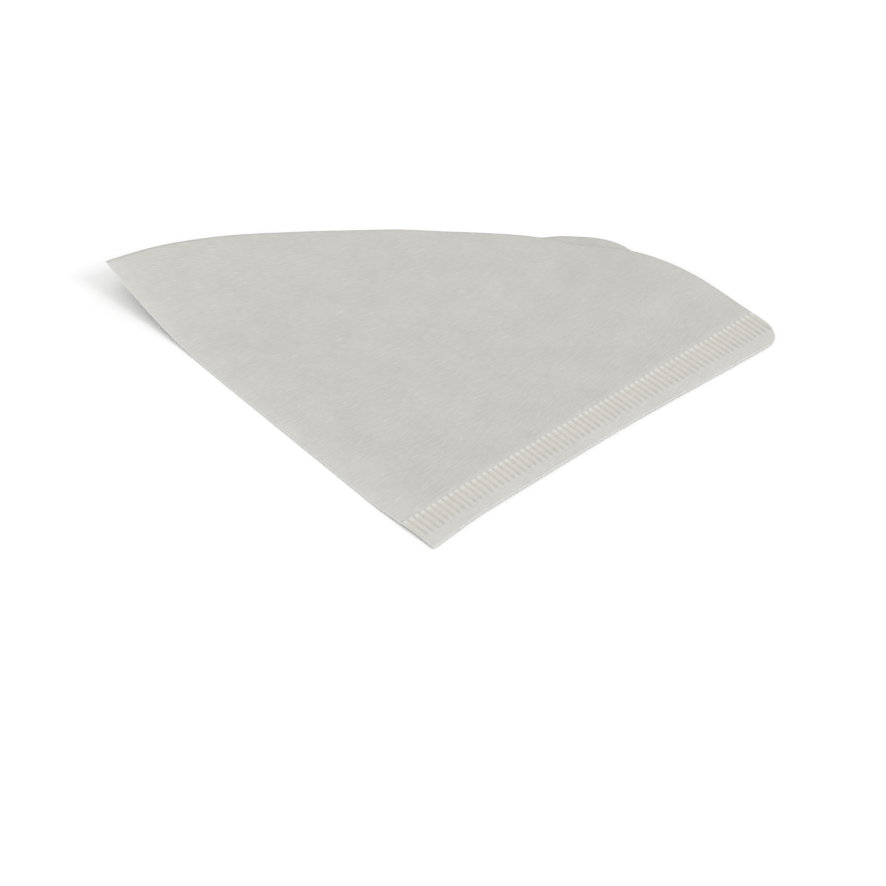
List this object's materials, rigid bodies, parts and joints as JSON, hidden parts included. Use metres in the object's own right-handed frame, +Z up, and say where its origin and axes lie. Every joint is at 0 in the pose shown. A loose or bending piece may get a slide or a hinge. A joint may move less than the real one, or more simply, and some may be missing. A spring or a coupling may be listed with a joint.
{
  "type": "paper coffee filter",
  "caption": "Flat-folded cone filter of thin crinkled paper, closed by a fold and a crimped side seam, with a curved open mouth, a small pull tab and one corner curled up, for straining brewed coffee.",
  "frame": {"origin": "middle of the footprint, on the underside of the lower layer, as the folded filter lies flat", "axes": "+X along the crimped seam from the cone tip to the mouth, +Y along the fold from the cone tip to the mouth, +Z up through the two layers"},
  "size_m": [0.121, 0.1312, 0.0084],
  "materials": {
    "paper": "matt off-white filter paper, finely crinkled"
  },
  "bodies": {
    "root": {"cone_filter": "paper"}
  },
  "joints": []
}
